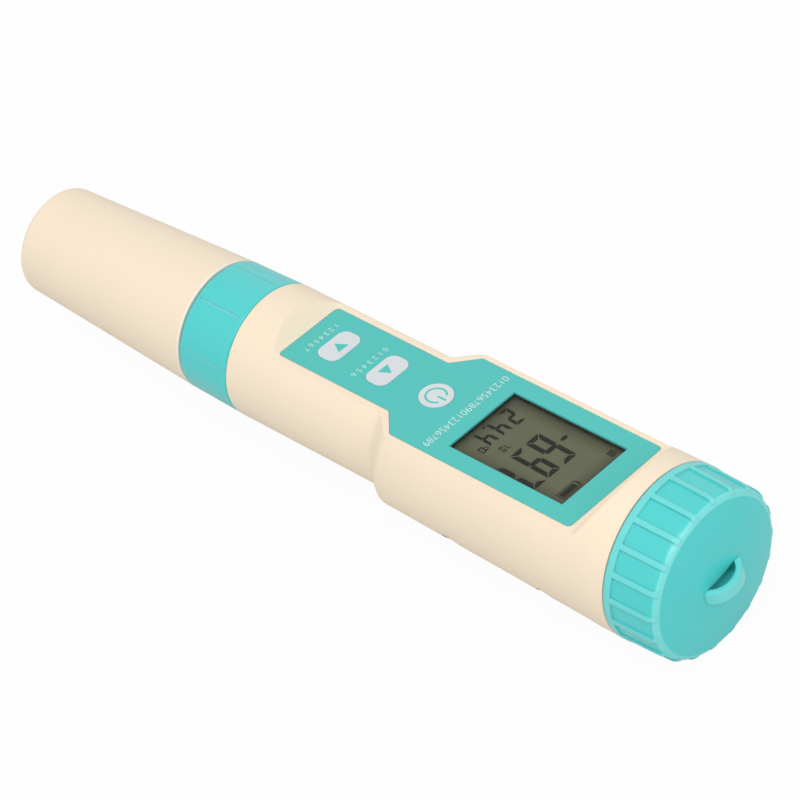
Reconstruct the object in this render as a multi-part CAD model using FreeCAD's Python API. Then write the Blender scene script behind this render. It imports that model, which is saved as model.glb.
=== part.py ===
import FreeCAD, Part
import math
import os

# Water quality test pen, lying on its back. Millimetres, +X towards the battery cap, +Z out of the key face.
# Sections are drawn about the pen axis with x counted from the probe end. Everything is shifted at the end.
V = FreeCAD.Vector

# Lengths along the pen, probe end first
SLEEVE_LEN = 51.3
JOINT_GAP = 0.3
COLLAR_LEN = 13.95
HOUSING_LEN = 106.05
CAP_BODY_LEN = 12.5
DOME_RISE = 1.8
ARCH_RISE = 3.5

# Outer radii of the housing, and what the other pieces differ from them
NECK_R = 15.0
HEAD_R = 18.7
FLARE_SWELL = 0.25
RIM_STEP = 0.05
CAP_TAPER = 0.3
DOME_INSET = 2.1
COLLAR_STEP = 0.05
COLLAR_TAPER = 0.35
SLEEVE_STEP = 0.0
SLEEVE_TAPER = 2.45
SLEEVE_ROUND = 1.3

# Walls and clearances
WALL = 1.8
SLEEVE_WALL = 1.7
RUN_FIT = 0.05
SLACK = 0.3
SNUG = 0.1

# Screw threads of collar and battery cap, smooth here
SPIGOT_LEN = 8.65
COLLAR_WALL = 2.35
REAR_SPIGOT_WALL = 1.7
REAR_BULKHEAD = 4.4

# Flat key face and its two sloping shoulders
FACE_Z = 10.77
FACE_FOOT_FRONT = 11.0
FACE_FOOT_REAR = 96.65
SHOULDER_LEAN = 0.63
FRONT_FOOT_FILLET = 0.8
REAR_FOOT_FILLET = 2.0
FACE_WALL = 1.7

# Slanted step from neck to head, measured from the front of the housing
STEP_START = 40.45
STEP_START_LEAN = 0.01
STEP_END = 45.3
STEP_END_LEAN = 0.2
HEAD_LIFT = 1.0
STEP_SECTIONS = 7
FLARE_BACK = 10.85
FLARE_LEN = 6.0

# Face film, measured from the front of the housing
FILM_T = 0.5
FILM_START = 11.15
FILM_STEP_A = 42.15
FILM_STEP_B = 47.05
FILM_END = 94.65
FILM_NARROW = 8.94
FILM_WIDE = 14.05
FILM_CORNER = 1.0
FILM_EDGE_GAP = 0.06

# Display
WINDOW_START = 59.25
WINDOW_LEN = 29.95
WINDOW_HALF = 9.88
PANE_MARGIN = 1.5
PANE_T = 0.5
LEDGE = 0.4
LCD_T = 1.75
LCD_DROP = 0.1
BACKLIGHT_T = 0.5
ZEBRA_W = 1.2
FRAME_WALL = 1.2
FRAME_H = 1.1

# Keys, measured from the front of the housing
KEY_X = 19.95
KEY_PITCH = 13.5
KEY_LONG = 9.3
KEY_SHORT = 5.7
KEY_CORNER = 2.15
POWER_R = 3.65
KEY_PROUD = 0.1
KEY_TRAVEL = 0.4
KEY_FLANGE = 0.7
KEY_FLANGE_T = 0.55
KEY_SHELF_T = 0.95

# Circuit board
BOARD_T = 1.1
BOARD_DROP = 0.6
BOARD_START = 12.2
BOARD_END = 91.6
BOARD_NARROW = 9.4
BOARD_WIDE = 12.8
SWITCH_SIZE = 4.5
SWITCH_H = 0.5
PLUNGER_R = 1.0
BOARD_SCREW_R = 0.9
BOARD_POST_R = 2.1
LINK_REACH = 2.6

# Chips under the board: place in the row, length, half width, y, height
CHIPS = [(1.1, 5, 2, 0, 1.4), (2.3, 5, 2, 0, 1.4), (3.6, 7, 3.5, 0, 1.2), (4.6, 4, 1.5, -6.5, 1.6)]

# Batteries, three AAA cells
CELL_R = 5.25
CELL_LEN = 44.5
CELL_NUB_R = 1.9
CELL_NUB_LEN = 0.8
CELL_SPACE = 5.45
CELL_HIGH_Z = 0.22
CELL_LOW_Z = -9.2
CELL_BORE_GAP = 0.1
CRADLE_TUBE_R = 5.85
CRADLE_END_WALL = 2.6
LEAF_T = 0.4
LEAF_R = 4.0

# Rear cover and its screw wells
SEAM_Z = -12.0
COVER_START = 6.2
COVER_END = 99.2
COVER_GAP = 0.06
LABEL_FLAT = 0.5
LABEL_END = 94.0
WELL_R = 3.1
WELL_WALL = 1.2
WELL_TOP_Z = -6.8
EAR_T = 1.5
WEB_H = 2.5
WELLS = [(12.7, 9.4), (62.0, 13.4), (86.8, 13.4)]
BOSS_R = 2.5
BOSS_H = 6.0
SCREW_R = 1.05
SCREW_HEAD_R = 2.3
SCREW_HEAD_H = 1.6
SCREW_LEN = 6.2

# Electrode
BARREL_R = 10.0
TIP_START = 14.0
GUARD_LEN = 9.5
GUARD_WALL = 1.5
GUARD_SLOT_W = 7.0
GUARD_SLOT_LEN = 6.5
GUARD_SLOTS = 4
FLANGE_INSET = 0.65
FLANGE_T = 1.95
COLLAR_LIP = 3.3
SHANK_R = 9.0
SHANK_LEN = 10.6
RING_SECTION = 1.6
RING_AT = (3.0, 6.2)
BULB_R = 3.4
BULB_STEM_R = 2.9
BULB_STEM_LEN = 4.5
PROBE_PIN_R = 0.9
PROBE_PIN_LEN = 4.2
PROBE_PIN_OFFSET = 5.6
JUNCTION_R = 1.3
PLUG_PINS = 6
PLUG_PIN_R = 0.5
PLUG_PIN_LEN = 5.0
PLUG_PIN_CIRCLE = 5.5
SOCKET_LEN = 5.7
SOCKET_BOARD_T = 1.2

# Collar grooves and moulding marks
COLLAR_GROOVES = 8
GROOVE_W = 0.5
GROOVE_D = 0.3
GROOVE_START = 1.2
GROOVE_STOP = 1.5
GROOVE_PHASE = 16.7

# Probe cap inside
LINER_LEN = 3.6
LINER_SETBACK = 0.4
SPONGE_R = 9.9
SPONGE_LEN = 6.0
CAP_END_WALL = 1.8

# Battery cap ribs and lanyard arch
RIBS = 20
RIB_W = 1.3
RIB_PHASE = 6.3
PANEL_D = 0.4
RIM_BAND = 1.6
CAP_ROUND = 1.9
RIB_REACH = 0.85
ROUND_STEPS = 5
CAP_CAVITY = 11.1
GASKET_INSET = 0.2
GASKET_W = 1.1
GASKET_T = 1.4
CARRIER_GAP = 0.7
CONTACT_MARGIN = 1.7
CONTACT_T = 0.6
ARCH_HALF = 5.8
ARCH_BAR = 1.35
ARCH_W = 3.1
ARCH_TURN = 11.0
POCKET_DEPTH = 1.8

# Radii that follow from the housing; the front of the head is lifted and keeps the width of the flat face
HEAD_FRONT_R = math.sqrt(HEAD_R ** 2 - FACE_Z ** 2 + (FACE_Z - HEAD_LIFT) ** 2)
FLARE_R = HEAD_R + FLARE_SWELL
CAP_RIM_R = FLARE_R + RIM_STEP
CAP_REAR_R = CAP_RIM_R - CAP_TAPER
DOME_EDGE_R = CAP_REAR_R - DOME_INSET
REAR_SPIGOT_R = HEAD_R - WALL
REAR_BORE_R = REAR_SPIGOT_R - REAR_SPIGOT_WALL
GASKET_OUT_R = REAR_SPIGOT_R - GASKET_INSET
GASKET_IN_R = GASKET_OUT_R - GASKET_W
CARRIER_R = GASKET_IN_R - CARRIER_GAP
CONTACT_R = CARRIER_R - CONTACT_MARGIN
COLLAR_REAR_R = NECK_R - COLLAR_STEP
COLLAR_FRONT_R = COLLAR_REAR_R - COLLAR_TAPER
FRONT_SPIGOT_R = NECK_R - COLLAR_WALL
FLANGE_R = FRONT_SPIGOT_R - FLANGE_INSET
SLEEVE_MOUTH_R = COLLAR_FRONT_R - SLEEVE_STEP
SLEEVE_END_R = SLEEVE_MOUTH_R - SLEEVE_TAPER

# Stations along the pen, in the order of the pieces
X_MOUTH = SLEEVE_LEN
X_COLLAR = X_MOUTH + JOINT_GAP
X_COLLAR_END = X_COLLAR + COLLAR_LEN
X_HOUSING = X_COLLAR_END + JOINT_GAP
X_HOUSING_END = X_HOUSING + HOUSING_LEN
X_CAP = X_HOUSING_END + JOINT_GAP
X_DOME = X_CAP + CAP_BODY_LEN
X_APEX = X_DOME + DOME_RISE
X_TOTAL = X_APEX + ARCH_RISE
X_SPIGOT = X_HOUSING - SPIGOT_LEN
X_REAR_SPIGOT_END = X_HOUSING_END + SPIGOT_LEN
X_FLANGE = X_COLLAR + COLLAR_LIP + RUN_FIT
X_FLANGE_END = X_FLANGE + FLANGE_T
X_SHANK_END = X_FLANGE_END + SHANK_LEN
X_SOCKET = X_SHANK_END + SLACK
X_SOCKET_END = X_SOCKET + SOCKET_LEN
X_CAP_INSIDE = X_CAP + CAP_CAVITY
X_GASKET = X_REAR_SPIGOT_END + SLACK

# Levels through the face, from the film down
FILM_FLOOR = FACE_Z - FILM_T
CEILING = FILM_FLOOR - FACE_WALL
LEDGE_Z = FILM_FLOOR - PANE_T
LCD_TOP = LEDGE_Z - LCD_DROP
LCD_FLOOR = LCD_TOP - LCD_T
BOARD_TOP = LCD_FLOOR - BOARD_DROP
BOARD_FLOOR = BOARD_TOP - BOARD_T
KEY_FOOT = FILM_FLOOR - KEY_SHELF_T - SLACK - KEY_FLANGE_T
PLUNGER_TOP = KEY_FOOT - KEY_TRAVEL - RUN_FIT

# Cells run from the contact wall to the mouth of the rear spigot
X_CELL_END = X_REAR_SPIGOT_END - SLACK
X_CELL = X_CELL_END - CELL_LEN
X_CRADLE = X_CELL - LEAF_T - CRADLE_END_WALL
CELLS = [(CELL_SPACE, CELL_HIGH_Z), (-CELL_SPACE, CELL_HIGH_Z), (0.0, CELL_LOW_Z)]
PARTS = {}


def put(name, shape):
    PARTS[name] = shape


def rod(r, x0, x1, y=0.0, z=0.0):
    return Part.makeCylinder(r, x1 - x0, V(x0, y, z), V(1, 0, 0))


def post(r, z0, z1, x, y):
    return Part.makeCylinder(r, z1 - z0, V(x, y, z0), V(0, 0, 1))


def block(x0, x1, y0, y1, z0, z1):
    return Part.makeBox(x1 - x0, y1 - y0, z1 - z0, V(x0, y0, z0))


def ring(r_in, r_out, x0, x1):
    return rod(r_out, x0, x1).cut(rod(r_in, x0 - 1, x1 + 1))


def turned(points):
    """Solid of revolution about the pen axis from (x, r) points."""
    wire = Part.makePolygon([V(x, 0, r) for x, r in points] + [V(points[0][0], 0, points[0][1])])
    return Part.Face(wire).revolve(V(0, 0, 0), V(1, 0, 0), 360)


def rounded(points, lift):
    """Closed wire through (u, v, radius) corners; lift turns (u, v) into a 3-D point."""
    count = len(points)
    edges = []
    last = None
    first = None
    for i in range(count):
        p = points[i - 1]
        c = points[i]
        n = points[(i + 1) % count]
        a = V(p[0] - c[0], p[1] - c[1], 0).normalize()
        b = V(n[0] - c[0], n[1] - c[1], 0).normalize()
        corner = V(c[0], c[1], 0)
        if c[2] > 0:
            half = a.getAngle(b) / 2
            run = c[2] / math.tan(half)
            mid = (a + b).normalize() * (c[2] / math.sin(half) - c[2])
            start = corner + a * run
            stop = corner + b * run
            arc = Part.Arc(lift(start), lift(corner + mid), lift(stop)).toShape()
        else:
            start = corner
            stop = corner
            arc = None
        if last is not None:
            edges.append(Part.makeLine(lift(last), lift(start)))
        else:
            first = start
        if arc:
            edges.append(arc)
        last = stop
    edges.append(Part.makeLine(lift(last), lift(first)))
    return Part.Wire(edges)


def plate(points, z0, z1):
    """Flat plate with rounded corners from (x, y, radius) points."""
    wire = rounded(points, lambda p: V(p.x, p.y, z0))
    return Part.Face(wire).extrude(V(0, 0, z1 - z0))


def bar(points, half):
    """Prism across the pen from (x, z, radius) points."""
    wire = rounded(points, lambda p: V(p.x, -half, p.y))
    return Part.Face(wire).extrude(V(0, 2 * half, 0))


def oblong(x, long_y, short_x, corner, z0, z1):
    h = short_x / 2
    k = long_y / 2
    return plate([(x - h, -k, corner), (x + h, -k, corner), (x + h, k, corner), (x - h, k, corner)], z0, z1)


def around(shape, count, phase):
    """Copies turned about the pen axis; phase in degrees from -Y towards +Z."""
    out = []
    for i in range(count):
        copy = shape.copy()
        copy.rotate(V(0, 0, 0), V(1, 0, 0), 90 - phase - i * 360.0 / count)
        out.append(copy)
    return out


def joined(shapes):
    return shapes[0].multiFuse(shapes[1:]).removeSplitter() if len(shapes) > 1 else shapes[0]


def slanted_ring(x, lean, r, lift):
    """Where a plane that leans back with height cuts a cylinder that lies `lift` above the axis."""
    mid = V(x + lean * lift, 0, lift)
    oval = Part.Ellipse(mid + V(lean * r, 0, r), mid + V(0, r, 0), mid)
    return Part.Wire([oval.toShape()])


def step_rings(inset):
    """Sections of the slanted step between neck and head, inset from the outside by a wall."""
    sections = []
    for i in range(STEP_SECTIONS):
        t = i / (STEP_SECTIONS - 1)
        swell = 3 * t * t - 2 * t ** 3
        x = X_HOUSING + STEP_START + (STEP_END - STEP_START) * t + inset
        lean = STEP_START_LEAN + (STEP_END_LEAN - STEP_START_LEAN) * t
        r = NECK_R + (HEAD_FRONT_R - NECK_R) * swell - inset
        sections.append(slanted_ring(x, lean, r, HEAD_LIFT * swell))
    return sections


def body_form(inset, x0, x1):
    """Neck, step, head and flare as one solid, inset by a wall. The belly of the head drops to the rear."""
    rings = step_rings(inset)
    x_flare = X_HOUSING_END - FLARE_BACK
    neck = rod(NECK_R - inset, x0, X_HOUSING + STEP_END + inset)
    head = Part.makeLoft([rings[-1], slanted_ring(x_flare, 0.0, HEAD_R - inset, 0.0)], True, True)
    form = neck.fuse(Part.makeLoft(rings, True, False)).fuse(head)
    flare = turned([(x_flare, 0), (x_flare, HEAD_R - inset), (x_flare + FLARE_LEN, FLARE_R - inset),
                    (x1, FLARE_R - inset), (x1, 0)])
    return form.fuse(flare)


def face_cut():
    """What the flat key face and its shoulders take off the round body."""
    top = HEAD_R + 3
    rise = top - FACE_Z
    a = X_HOUSING + FACE_FOOT_FRONT
    b = X_HOUSING + FACE_FOOT_REAR
    return bar([(a, FACE_Z, FRONT_FOOT_FILLET), (b, FACE_Z, REAR_FOOT_FILLET),
                (b + rise * SHOULDER_LEAN, top, 0), (a - rise * SHOULDER_LEAN, top, 0)], HEAD_R + 3)


def film_outline(grow, z0, z1):
    a = X_HOUSING + FILM_START - grow
    b = X_HOUSING + FILM_STEP_A - grow / 2
    c = X_HOUSING + FILM_STEP_B - grow / 2
    d = X_HOUSING + FILM_END + grow
    n = FILM_NARROW + grow
    w = FILM_WIDE + grow
    k = FILM_CORNER
    pts = [(a, -n, k), (b, -n, k), (c, -w, k), (d, -w, k), (d, w, k), (c, w, k), (b, n, k), (a, n, k)]
    return plate(pts, z0, z1)


def window_block(grow, z0, z1):
    a = X_HOUSING + WINDOW_START - grow
    b = X_HOUSING + WINDOW_START + WINDOW_LEN + grow
    w = WINDOW_HALF + grow
    return block(a, b, -w, w, z0, z1)


def key_forms(grow, z0, z1):
    """The two oblong pads and the round power pad, grown by a clearance."""
    x = X_HOUSING + KEY_X
    forms = []
    for i in range(2):
        forms.append(oblong(x + i * KEY_PITCH, KEY_LONG + 2 * grow, KEY_SHORT + 2 * grow, KEY_CORNER + grow, z0, z1))
    forms.append(post(POWER_R + grow, z0, z1, x + 2 * KEY_PITCH, 0))
    return forms


def well_spots():
    spots = []
    for x, y in WELLS:
        spots.append((X_HOUSING + x, -y))
        spots.append((X_HOUSING + x, y))
    return spots


def board_screw_spots():
    x = X_HOUSING
    near = BOARD_NARROW - BOARD_POST_R - 0.2
    wide = BOARD_WIDE - BOARD_POST_R
    front = x + BOARD_START + BOARD_POST_R + 0.4
    mid = x + WINDOW_START - PANE_MARGIN - FRAME_WALL - BOARD_POST_R - 1.6
    return [(front, -near), (front, near), (mid, -wide), (mid, wide)]


def cavity():
    """Hollow inside of the housing: round bays under a flat ceiling, and the rear bore."""
    x1 = X_HOUSING_END - REAR_BULKHEAD
    bay = body_form(WALL, X_SOCKET_END - 0.5, x1)
    bay = bay.common(block(X_SPIGOT, X_TOTAL, -30, 30, -30, CEILING))
    bore = rod(REAR_BORE_R, x1 - 2, X_REAR_SPIGOT_END + 2)
    socket_bore = rod(SHANK_R + RUN_FIT, X_SPIGOT - 1, X_SOCKET_END + 1)
    return bay, bore, socket_bore


def build_housing():
    outer = body_form(0.0, X_HOUSING, X_HOUSING_END)
    outer = outer.cut(face_cut())
    bay, bore, socket_bore = cavity()
    front = rod(FRONT_SPIGOT_R, X_SPIGOT, X_HOUSING + 1)
    rear = rod(REAR_SPIGOT_R, X_HOUSING_END - 1, X_REAR_SPIGOT_END)
    solid = outer.fuse(front).fuse(rear)
    shell = solid.cut(bay).cut(bore).cut(socket_bore)

    # Screw wells, their tubes and the bosses above
    inner = body_form(WALL, X_SOCKET_END, X_HOUSING_END - REAR_BULKHEAD)
    inner_cover = body_form(WALL + COVER_GAP, X_SOCKET_END, X_HOUSING_END - REAR_BULKHEAD)
    wells = [post(WELL_R, -30, WELL_TOP_Z, x, y) for x, y in well_spots()]
    ear_z = WELL_TOP_Z + EAR_T
    tubes = [post(WELL_R + WELL_WALL, -30, ear_z, x, y) for x, y in well_spots()]
    bosses = []
    for x, y in well_spots():
        side = 1 if y > 0 else -1
        lug = block(x - BOSS_R, x + BOSS_R, min(y, side * 20), max(y, side * 20), ear_z, ear_z + BOSS_H)
        lug = lug.fuse(post(BOSS_R, ear_z, ear_z + BOSS_H, x, y)).common(outer)
        bosses.append(lug.cut(post(SCREW_R + RUN_FIT, ear_z - 1, ear_z + BOSS_H - 1, x, y)))

    # The cover is the part of the shell below the seam
    xa = X_HOUSING + COVER_START
    xb = X_HOUSING + COVER_END
    cover_box = block(xa, xb, -30, 30, -30, SEAM_Z)
    cover = shell.common(cover_box)
    skin = outer.common(cover_box)
    for tube in tubes:
        cover = cover.fuse(tube.common(inner_cover)).fuse(tube.common(skin))
    x, y = WELLS[0]
    web = block(X_HOUSING + x - WELL_WALL, X_HOUSING + x + WELL_WALL, -y, y, -30, SEAM_Z + WEB_H)
    cover = cover.fuse(web.common(inner_cover)).fuse(web.common(skin))
    for well in wells:
        cover = cover.cut(well)
    for x, y in well_spots():
        cover = cover.cut(post(SCREW_R + SNUG, WELL_TOP_Z - 1, ear_z + 1, x, y))
    # Shallow flat for a label along the belly of the head
    x_flare = X_HOUSING_END - FLARE_BACK
    slope = (HEAD_FRONT_R - HEAD_LIFT - HEAD_R) / (x_flare - X_HOUSING - STEP_END)
    x_label = X_HOUSING + LABEL_END
    z_label = LABEL_FLAT - HEAD_R - (x_flare - x_label) * slope
    z_front = z_label - (x_label - xa) * slope
    cover = cover.cut(bar([(xa, z_front, 0), (x_label, z_label, 0), (x_label, -40, 0), (xa, -40, 0)], 30))
    g = COVER_GAP
    shell = shell.cut(block(xa - g, xb + g, -30, 30, -30, SEAM_Z + g))
    for lug in bosses:
        shell = shell.fuse(lug)
    for well in wells:
        shell = shell.cut(well)

    # Film bed, display opening, key openings and key pockets
    shell = shell.cut(film_outline(FILM_EDGE_GAP, FILM_FLOOR, FACE_Z + 1))
    shell = shell.cut(window_block(PANE_MARGIN + SNUG, LEDGE_Z, FACE_Z))
    shell = shell.cut(window_block(PANE_MARGIN - LEDGE, CEILING - 1, LEDGE_Z + 0.5))
    for form in key_forms(SLACK, CEILING - 1, FACE_Z):
        shell = shell.cut(form)
    for form in key_forms(KEY_FLANGE + SLACK, CEILING - 1, FILM_FLOOR - KEY_SHELF_T):
        shell = shell.cut(form)

    # Posts that hold the board
    for x, y in board_screw_spots():
        stud = post(BOARD_POST_R, BOARD_TOP, CEILING + 0.5, x, y)
        shell = shell.fuse(stud).cut(post(BOARD_SCREW_R + RUN_FIT, BOARD_TOP - 1, CEILING, x, y))
    put("housing_shell", shell.removeSplitter())
    put("rear_cover", cover.removeSplitter())

    screws = []
    for x, y in well_spots():
        head = post(SCREW_HEAD_R, WELL_TOP_Z - SCREW_HEAD_H, WELL_TOP_Z, x, y)
        shank = post(SCREW_R, WELL_TOP_Z - 0.1, WELL_TOP_Z + SCREW_LEN, x, y)
        slot = block(x - SCREW_HEAD_R, x + SCREW_HEAD_R, y - 0.3, y + 0.3, WELL_TOP_Z - SCREW_HEAD_H - 1,
                     WELL_TOP_Z - SCREW_HEAD_H + 0.7)
        cross = slot.copy()
        cross.rotate(V(x, y, 0), V(0, 0, 1), 90)
        screws.append(head.fuse(shank).removeSplitter().cut(slot).cut(cross))
    put("cover_screws", Part.makeCompound(screws))


def build_face():
    film = film_outline(0.0, FILM_FLOOR, FACE_Z)
    film = film.cut(window_block(0.0, FILM_FLOOR - 1, FACE_Z + 1))
    for form in key_forms(RUN_FIT, FILM_FLOOR - 1, FACE_Z + 1):
        film = film.cut(form)
    put("face_film", film)
    put("display_window", window_block(PANE_MARGIN, LEDGE_Z, FILM_FLOOR))

    # Keys: a pad through the film and a flange that stops under the shell
    pads = key_forms(0.0, FILM_FLOOR - KEY_SHELF_T - 0.3, FACE_Z + KEY_PROUD)
    flanges = key_forms(KEY_FLANGE, KEY_FOOT, KEY_FOOT + KEY_FLANGE_T)
    for name, pad, flange in zip(("down_key", "up_key", "power_key"), pads, flanges):
        put(name, pad.fuse(flange).removeSplitter())

    # Display stack between the window and the board
    put("lcd_glass", window_block(PANE_MARGIN - LEDGE - SNUG, LCD_FLOOR, LCD_TOP))
    grow = PANE_MARGIN - LEDGE - SNUG
    x0 = X_HOUSING + WINDOW_START - grow
    x1 = X_HOUSING + WINDOW_START + WINDOW_LEN + grow
    y = WINDOW_HALF + grow
    inner = y - 2 * ZEBRA_W
    put("backlight", block(x0, x1, -inner + SNUG, inner - SNUG, BOARD_TOP, BOARD_TOP + BACKLIGHT_T))
    strips = [block(x0, x1, -y, -y + ZEBRA_W, BOARD_TOP, LCD_FLOOR)]
    strips.append(block(x0, x1, y - ZEBRA_W, y, BOARD_TOP, LCD_FLOOR))
    put("contact_strips", Part.makeCompound(strips))
    frame = window_block(grow + FRAME_WALL, BOARD_TOP, BOARD_TOP + FRAME_H)
    frame = frame.cut(window_block(grow + SNUG / 2, BOARD_TOP - 1, BOARD_TOP + FRAME_H + 1))
    put("display_frame", frame)


def build_board():
    a = X_HOUSING + BOARD_START
    b = X_HOUSING + FILM_STEP_A
    c = X_HOUSING + FILM_STEP_B
    d = X_HOUSING + BOARD_END
    n = BOARD_NARROW
    w = BOARD_WIDE
    pts = [(a, -n, 1), (b, -n, 1), (c, -w, 1), (d, -w, 1), (d, w, 1), (c, w, 1), (b, n, 1), (a, n, 1)]
    board = plate(pts, BOARD_FLOOR, BOARD_TOP)
    screws = []
    for x, y in board_screw_spots():
        board = board.cut(post(BOARD_SCREW_R + SNUG, BOARD_FLOOR - 1, BOARD_TOP + 1, x, y))
        head = post(BOARD_SCREW_R * 2, BOARD_FLOOR - 1.2, BOARD_FLOOR, x, y)
        screws.append(head.fuse(post(BOARD_SCREW_R, BOARD_FLOOR - 0.1, BOARD_TOP + 1.1, x, y)).removeSplitter())
    put("main_board", board)
    put("board_screws", Part.makeCompound(screws))

    switches = []
    for i in range(3):
        x = X_HOUSING + KEY_X + i * KEY_PITCH
        base = oblong(x, SWITCH_SIZE, SWITCH_SIZE, 0.4, BOARD_TOP, BOARD_TOP + SWITCH_H)
        switches.append(base.fuse(post(PLUNGER_R, BOARD_TOP, PLUNGER_TOP, x, 0)).removeSplitter())
    put("tact_switches", Part.makeCompound(switches))

    # Components under the board, spread between the link and the cells
    z = BOARD_FLOOR
    x = X_HOUSING + BOARD_START + LINK_REACH
    pitch = (X_CRADLE - x) / 6
    chips = []
    for place, length, half, y, height in CHIPS:
        mid = x + place * pitch
        chips.append(block(mid - length / 2, mid + length / 2, y - half, y + half, z - height, z))
    chips.append(Part.makeCylinder(1.5, 6, V(x + 2.9 * pitch - 3, 6.5, z - 1.5), V(1, 0, 0)))
    chips.append(post(2.6, z - 2.2, z, x + 4.7 * pitch, 4.5))
    put("board_components", Part.makeCompound(chips))

    # Socket for the plug of the electrode, on a small upright board
    socket = rod(SHANK_R, X_SOCKET, X_SOCKET_END)
    for hole in around(rod(PLUG_PIN_R + SNUG, X_SOCKET - 1, X_SHANK_END + PLUG_PIN_LEN + 0.3, 0, PLUG_PIN_CIRCLE),
                       PLUG_PINS, 0):
        socket = socket.cut(hole)
    put("electrode_socket", socket)
    x = X_SOCKET_END
    disc = rod(SHANK_R - 0.4, x, x + SOCKET_BOARD_T)
    disc = disc.cut(block(x - 1, x + 3, -20, 20, BOARD_FLOOR - 0.2, 20))
    put("socket_board", disc)
    link_x = x + SOCKET_BOARD_T
    put("board_link", block(link_x, X_HOUSING + BOARD_START + LINK_REACH, -4.5, 4.5, BOARD_FLOOR - 2.4, BOARD_FLOOR))


def build_power():
    x_end = X_REAR_SPIGOT_END - 0.5
    body = joined([rod(CRADLE_TUBE_R, X_CRADLE, x_end, y, z) for y, z in CELLS])
    core = rod(CELL_SPACE, X_CRADLE, x_end, 0, CELL_HIGH_Z - CELL_SPACE / 2)
    body = body.fuse(core).common(block(X_CRADLE - 1, x_end + 1, -30, 30, -30, BOARD_FLOOR - 0.25))
    for y, z in CELLS:
        body = body.cut(rod(CELL_R + CELL_BORE_GAP, X_CELL - LEAF_T, x_end + 1, y, z))
    put("battery_cradle", body.removeSplitter())

    cells = []
    leaves = []
    for i, (y, z) in enumerate(CELLS):
        x_body = X_CELL + (CELL_NUB_LEN if i == 2 else 0)
        x_stop = X_CELL_END - (0 if i == 2 else CELL_NUB_LEN)
        can = rod(CELL_R, x_body, x_stop, y, z)
        nub_x = X_CELL if i == 2 else x_stop
        cells.append(can.fuse(rod(CELL_NUB_R, nub_x, nub_x + CELL_NUB_LEN, y, z)).removeSplitter())
        leaves.append(rod(LEAF_R, X_CELL - LEAF_T, X_CELL, y, z))
    put("battery_cells", Part.makeCompound(cells))
    put("cradle_contacts", Part.makeCompound(leaves))


def build_electrode():
    x0 = TIP_START
    barrel = turned([(x0, 0), (x0, BARREL_R - 1), (x0 + 1, BARREL_R), (X_FLANGE, BARREL_R), (X_FLANGE, FLANGE_R),
                     (X_FLANGE_END, FLANGE_R), (X_FLANGE_END, SHANK_R), (X_SHANK_END - 0.6, SHANK_R),
                     (X_SHANK_END, SHANK_R - 0.6), (X_SHANK_END, 0)])
    barrel = barrel.cut(rod(BARREL_R - GUARD_WALL, x0 - 1, x0 + GUARD_LEN))
    slot = block(x0 - 1, x0 + GUARD_SLOT_LEN - GUARD_SLOT_W / 2, -GUARD_SLOT_W / 2, GUARD_SLOT_W / 2, 4, 20)
    slot = slot.fuse(post(GUARD_SLOT_W / 2, 4, 20, x0 + GUARD_SLOT_LEN - GUARD_SLOT_W / 2, 0))
    for cut in around(slot, GUARD_SLOTS, 45):
        barrel = barrel.cut(cut)
    face = x0 + GUARD_LEN
    depth = 2.5
    barrel = barrel.cut(rod(BULB_STEM_R + RUN_FIT, face - 1, face + depth))
    for y in (-PROBE_PIN_OFFSET, PROBE_PIN_OFFSET):
        barrel = barrel.cut(rod(PROBE_PIN_R + RUN_FIT, face - 1, face + depth, y, 0))
    barrel = barrel.cut(rod(PROBE_PIN_R + RUN_FIT, face - 1, face + depth, 0, PROBE_PIN_OFFSET))
    barrel = barrel.cut(rod(JUNCTION_R + RUN_FIT, face - 1, face + depth, 0, -PROBE_PIN_OFFSET))
    rings = []
    for at in RING_AT:
        x = X_FLANGE_END + at
        r = RING_SECTION / 2
        barrel = barrel.cut(ring(SHANK_R - RING_SECTION - RUN_FIT, SHANK_R + 1, x - r - SNUG, x + r + SNUG))
        corners = [math.radians(22.5 + 45 * i) for i in range(8)]
        rings.append(turned([(x + r * math.cos(a), SHANK_R - r + r * math.sin(a)) for a in corners]))
    for hole in around(rod(PLUG_PIN_R + RUN_FIT, X_SHANK_END - 3, X_SHANK_END + 1, 0, PLUG_PIN_CIRCLE), PLUG_PINS, 0):
        barrel = barrel.cut(hole)
    put("electrode_body", barrel)
    put("seal_rings", Part.makeCompound(rings))
    pin = rod(PLUG_PIN_R, X_SHANK_END - 3, X_SHANK_END + PLUG_PIN_LEN, 0, PLUG_PIN_CIRCLE)
    put("plug_pins", Part.makeCompound(around(pin, PLUG_PINS, 0)))

    stem = rod(BULB_STEM_R, face - BULB_STEM_LEN, face + depth)
    bulb = Part.makeSphere(BULB_R, V(face - BULB_STEM_LEN, 0, 0))
    put("glass_bulb", stem.fuse(bulb).removeSplitter())
    pins = [rod(PROBE_PIN_R, face - PROBE_PIN_LEN, face + depth, y, 0) for y in (-PROBE_PIN_OFFSET, PROBE_PIN_OFFSET)]
    put("conductivity_pins", Part.makeCompound(pins))
    sensor = rod(PROBE_PIN_R, face - PROBE_PIN_LEN, face + depth, 0, PROBE_PIN_OFFSET)
    put("temperature_sensor", sensor.fuse(Part.makeSphere(PROBE_PIN_R, V(face - PROBE_PIN_LEN, 0, PROBE_PIN_OFFSET))))
    put("reference_junction", rod(JUNCTION_R, face - 0.4, face + depth, 0, -PROBE_PIN_OFFSET))


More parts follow.
